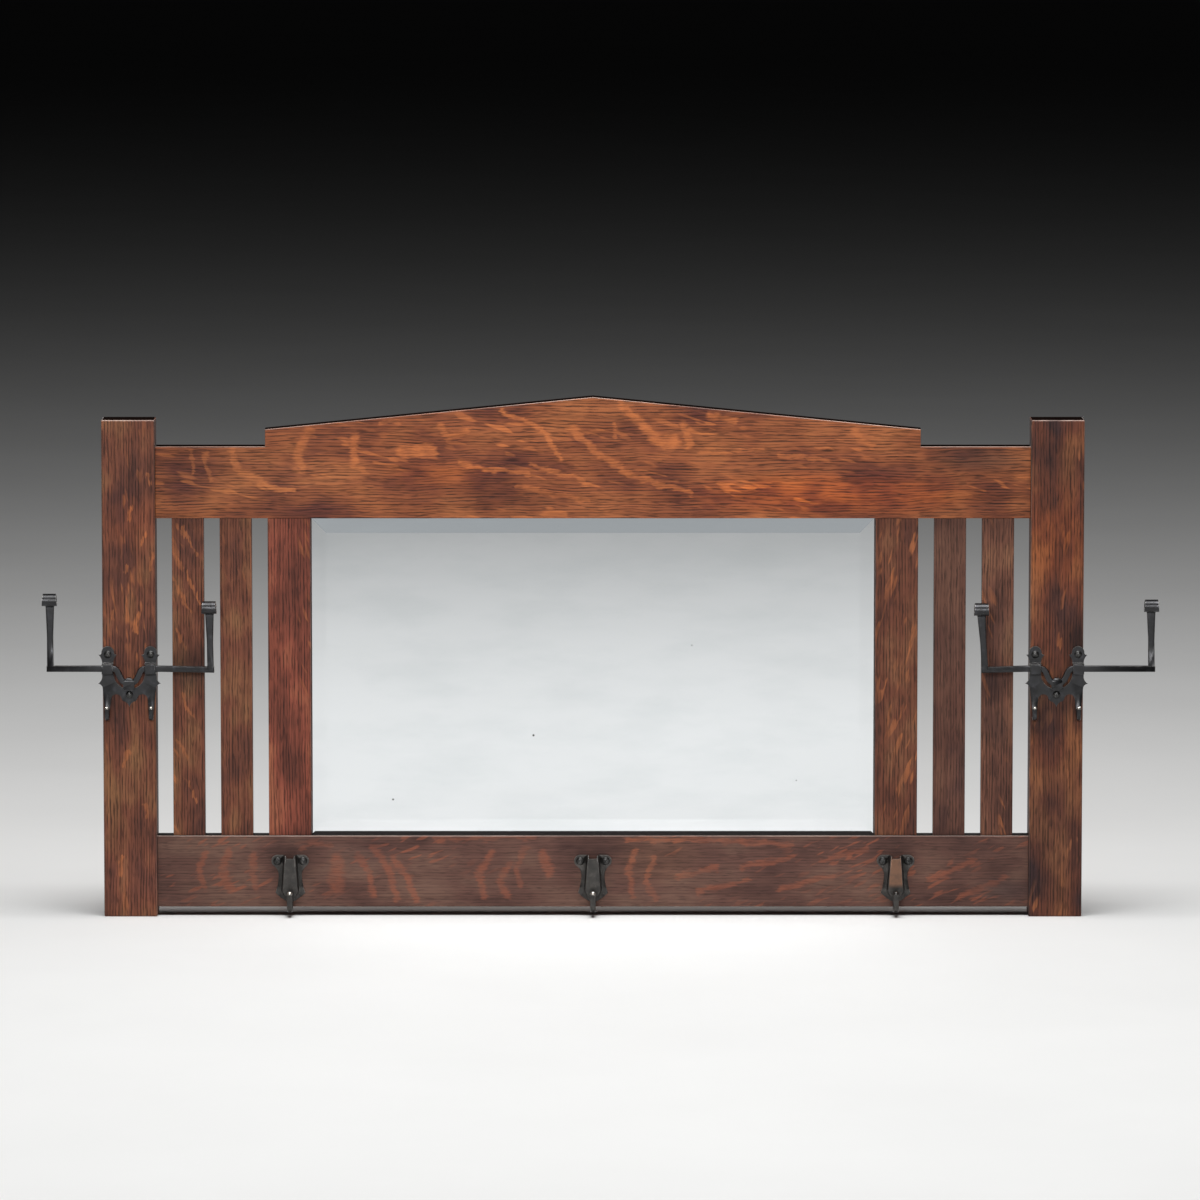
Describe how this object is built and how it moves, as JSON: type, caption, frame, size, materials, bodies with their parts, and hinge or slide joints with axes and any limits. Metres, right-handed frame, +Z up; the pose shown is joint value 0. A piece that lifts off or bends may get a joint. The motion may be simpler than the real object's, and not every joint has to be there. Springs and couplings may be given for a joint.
{
  "type": "hall mirror",
  "caption": "Wide oak hall mirror with a peaked top rail, slatted sides, bevelled glass, iron hat bars on the posts and iron coat hooks on the bottom rail.",
  "frame": {"origin": "on the wall plane, midway between the round ends of the two keyhole hangers", "axes": "+X to the viewer's right, +Y into the wall, +Z up"},
  "size_m": [1.3274, 0.0704, 0.6235],
  "materials": {
    "oak": "dark stained and waxed",
    "back_pine": "bare, aged",
    "glue_block_pine": "bare",
    "silvered_glass": "polished",
    "black_iron": "blackened",
    "iron_screw": "blackened, worn",
    "dull_steel": "dull"
  },
  "bodies": {
    "root": {"left_post": "oak", "right_post": "oak", "top_rail": "oak", "bottom_rail": "oak", "left_outer_slat": "oak", "left_inner_slat": "oak", "right_inner_slat": "oak", "right_outer_slat": "oak", "left_stile": "oak", "right_stile": "oak", "lower_backboard": "back_pine", "middle_backboard": "back_pine", "upper_backboard": "back_pine", "mirror_wedges": "glue_block_pine", "mirror_plate": "silvered_glass", "left_hat_plate": "black_iron", "right_hat_plate": "black_iron", "left_hat_bar": "black_iron", "right_hat_bar": "black_iron", "left_coat_hook": "black_iron", "middle_coat_hook": "black_iron", "right_coat_hook": "black_iron", "left_hat_plate_screws": "iron_screw", "right_hat_plate_screws": "iron_screw", "coat_hook_screws": "iron_screw", "left_keyhole_hanger": "dull_steel", "right_keyhole_hanger": "dull_steel", "left_hanger_screws": "dull_steel", "right_hanger_screws": "dull_steel", "backboard_screws": "dull_steel"}
  },
  "joints": []
}
